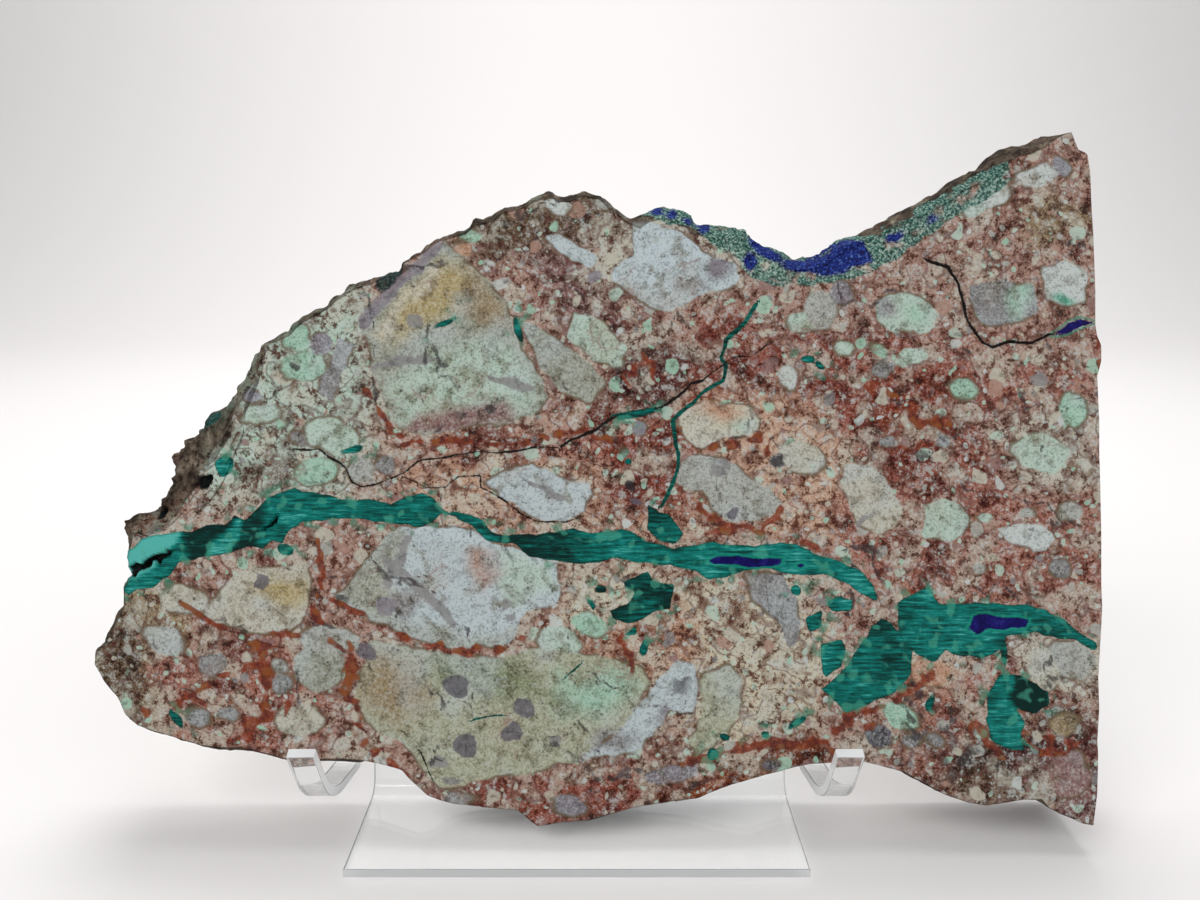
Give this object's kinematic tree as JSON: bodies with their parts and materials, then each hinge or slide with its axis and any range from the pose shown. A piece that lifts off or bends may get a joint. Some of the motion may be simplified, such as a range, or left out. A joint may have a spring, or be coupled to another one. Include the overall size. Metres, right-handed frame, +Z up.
{
  "type": "azurite and malachite breccia slab on a clear easel",
  "caption": "Sawn slab of copper breccia with malachite veins, azurite lenses and a rough natural rim, leaning in the hooks of a bent clear acrylic easel",
  "frame": {"origin": "on the underside of the easel's base plate, on the easel's centre line", "axes": "+X to the right as the slab's face is seen, along its length; +Y to the back; +Z up"},
  "size_m": [0.3203, 0.1357, 0.2215],
  "materials": {
    "breccia": "sawn and lapped to a satin face, natural broken rim, green malachite veins and blue azurite",
    "clear_acrylic": "clear polished sheet with bright cut edges"
  },
  "bodies": {
    "root": {"slab": "breccia", "easel": "clear_acrylic"}
  },
  "joints": []
}
